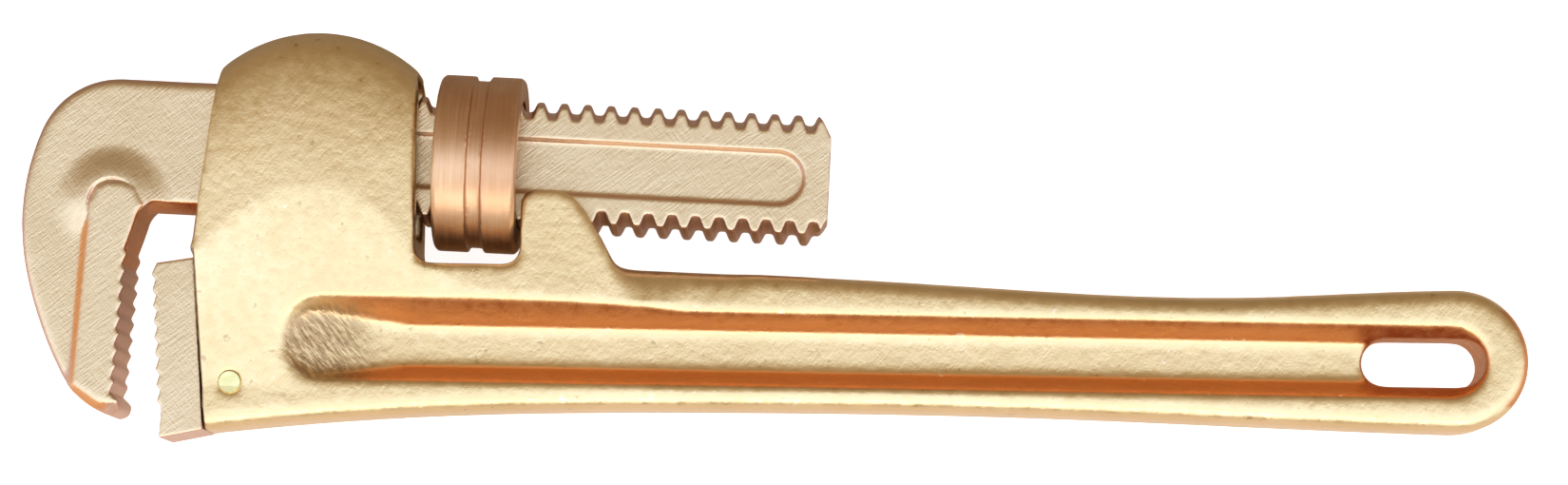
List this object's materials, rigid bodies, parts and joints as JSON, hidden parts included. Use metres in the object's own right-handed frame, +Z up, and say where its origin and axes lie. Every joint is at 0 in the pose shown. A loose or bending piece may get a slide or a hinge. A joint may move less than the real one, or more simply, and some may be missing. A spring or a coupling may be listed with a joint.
{
  "type": "pipe wrench",
  "caption": "Adjustable straight pipe wrench in cast copper alloy: a toothed hook jaw slides and rocks in the housing, set by a ring nut, against a pinned heel jaw.",
  "frame": {"origin": "middle of the footprint of the wrench lying on its side, jaws nearly closed, at the level it rests on", "axes": "+X along the handle towards its hanging eye, +Y from the handle towards the jaw shank, +Z up out of the side it shows"},
  "size_m": [0.3246, 0.0886, 0.0383],
  "materials": {
    "cast_bronze": "satin fettled casting",
    "jaw_bronze": "milled and forged, satin",
    "pin_brass": "plain, ground flush",
    "nut_copper": "turned, fine circumferential marks",
    "spring_metal": "drawn spring alloy"
  },
  "bodies": {
    "handle": {"handle_housing": "cast_bronze", "heel_jaw": "jaw_bronze", "heel_jaw_pin": "pin_brass", "coil_spring": "spring_metal"},
    "spring_plate": {"flat_spring": "spring_metal", "spring_rivet": "pin_brass"},
    "hook": {"hook_jaw": "jaw_bronze"},
    "nut": {"adjusting_nut": "nut_copper"}
  },
  "joints": [
    {"name": "jaw_rock", "type": "hinge", "parent": "handle", "child": "spring_plate", "pos_m": [-0.05421, 0.0025, 0.01915], "axis": [0, 0, 1], "range_deg": [0, 2.5], "stiffness_Nm_per_rad": 30, "springref_deg": -1.72},
    {"name": "jaw_slide", "type": "slide", "parent": "spring_plate", "child": "hook", "axis": [-0.9993, 0.0375, 0], "range_m": [-0.004, 0.058]},
    {"name": "nut_spin", "type": "hinge", "parent": "spring_plate", "child": "nut", "pos_m": [-0.06271, 0.0165, 0.01915], "axis": [0.9993, -0.0375, 0], "range_deg": [-290, 4120]}
  ],
  "couplings": [
    {"joint": "nut_spin", "follows": "jaw_slide", "rad_per_m": 1236.8}
  ]
}
